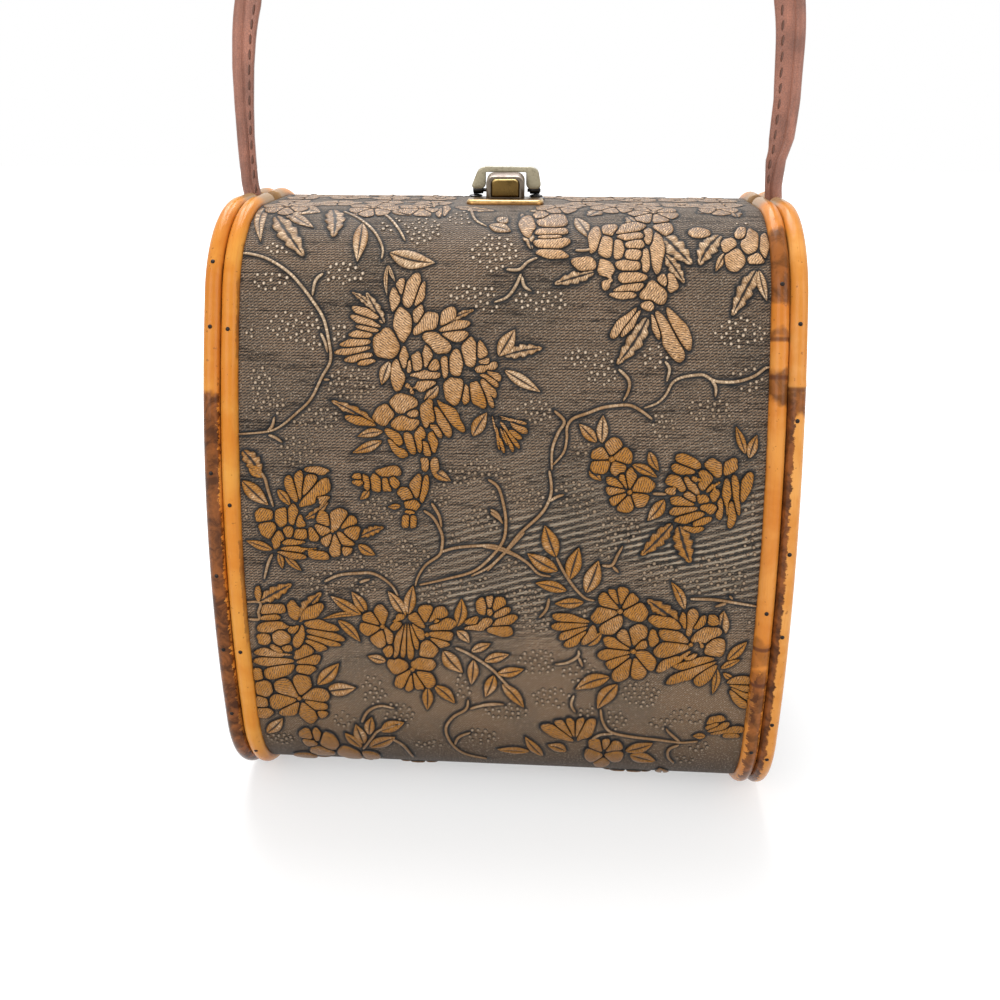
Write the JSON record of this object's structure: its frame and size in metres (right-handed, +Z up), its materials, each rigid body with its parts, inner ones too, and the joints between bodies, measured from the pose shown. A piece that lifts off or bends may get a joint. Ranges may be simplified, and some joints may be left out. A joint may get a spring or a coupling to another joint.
{
  "type": "box handbag with cane edging",
  "caption": "Rounded box handbag in embossed floral leather, edged with bamboo canes, with a brass bail clasp on top and an arched leather carrying strap.",
  "frame": {"origin": "middle of the underside, on the surface that the bag stands on", "axes": "+X to the right of the bag seen from its front, +Y from its front to its back, +Z up"},
  "size_m": [0.2124, 0.1576, 0.3942],
  "materials": {
    "case_board": "covered board, dull",
    "end_panel": "dark embossed leather, dull",
    "lining": "plain woven lining",
    "embossed_cover": "embossed and burnished, taupe ground with tan motifs",
    "cane": "varnished burnt bamboo, glossy",
    "nail_steel": "dark",
    "hinge_brass": "aged",
    "clasp_brass": "aged, satin",
    "clasp_button_brass": "polished",
    "bail_brass": "dulled, satin",
    "dark_metal": "blackened",
    "strap_leather": "smooth brown leather",
    "rivet_brass": "aged"
  },
  "bodies": {
    "back_half": {"back_cover": "embossed_cover", "back_hinge_leaf": "hinge_brass", "back_hinge_rivets": "hinge_brass", "back_left_end": "end_panel", "back_left_inner_cane": "cane", "back_left_outer_cane": "cane", "back_lining": "lining", "back_nails": "nail_steel", "back_right_end": "end_panel", "back_right_inner_cane": "cane", "back_right_outer_cane": "cane", "back_shell": "case_board", "bail_bracket": "clasp_brass", "bail_pins": "dark_metal", "bracket_screws": "dark_metal", "hinge_pin": "hinge_brass", "strap": "strap_leather", "strap_rivets": "rivet_brass"},
    "front_half": {"clasp_block": "clasp_brass", "clasp_plate": "clasp_brass", "clasp_screws": "dark_metal", "front_cover": "embossed_cover", "front_hinge_leaf": "hinge_brass", "front_hinge_rivets": "hinge_brass", "front_left_end": "end_panel", "front_left_inner_cane": "cane", "front_left_outer_cane": "cane", "front_lining": "lining", "front_nails": "nail_steel", "front_right_end": "end_panel", "front_right_inner_cane": "cane", "front_right_outer_cane": "cane", "front_shell": "case_board"},
    "bail": {"clasp_bail": "bail_brass"},
    "button": {"clasp_button": "clasp_button_brass"}
  },
  "joints": [
    {"name": "case_opening", "type": "hinge", "parent": "back_half", "child": "front_half", "pos_m": [0, 0, 0.0025], "axis": [1, 0, 0], "range_deg": [0, 75]},
    {"name": "bail_swing", "type": "hinge", "parent": "back_half", "child": "bail", "pos_m": [-0.0014, 0.0027, 0.2341], "axis": [1, 0, 0], "range_deg": [-95, 0]},
    {"name": "button_press", "type": "slide", "parent": "front_half", "child": "button", "axis": [0, 1, 0], "range_m": [0, 0.001], "stiffness_N_per_m": 400}
  ]
}
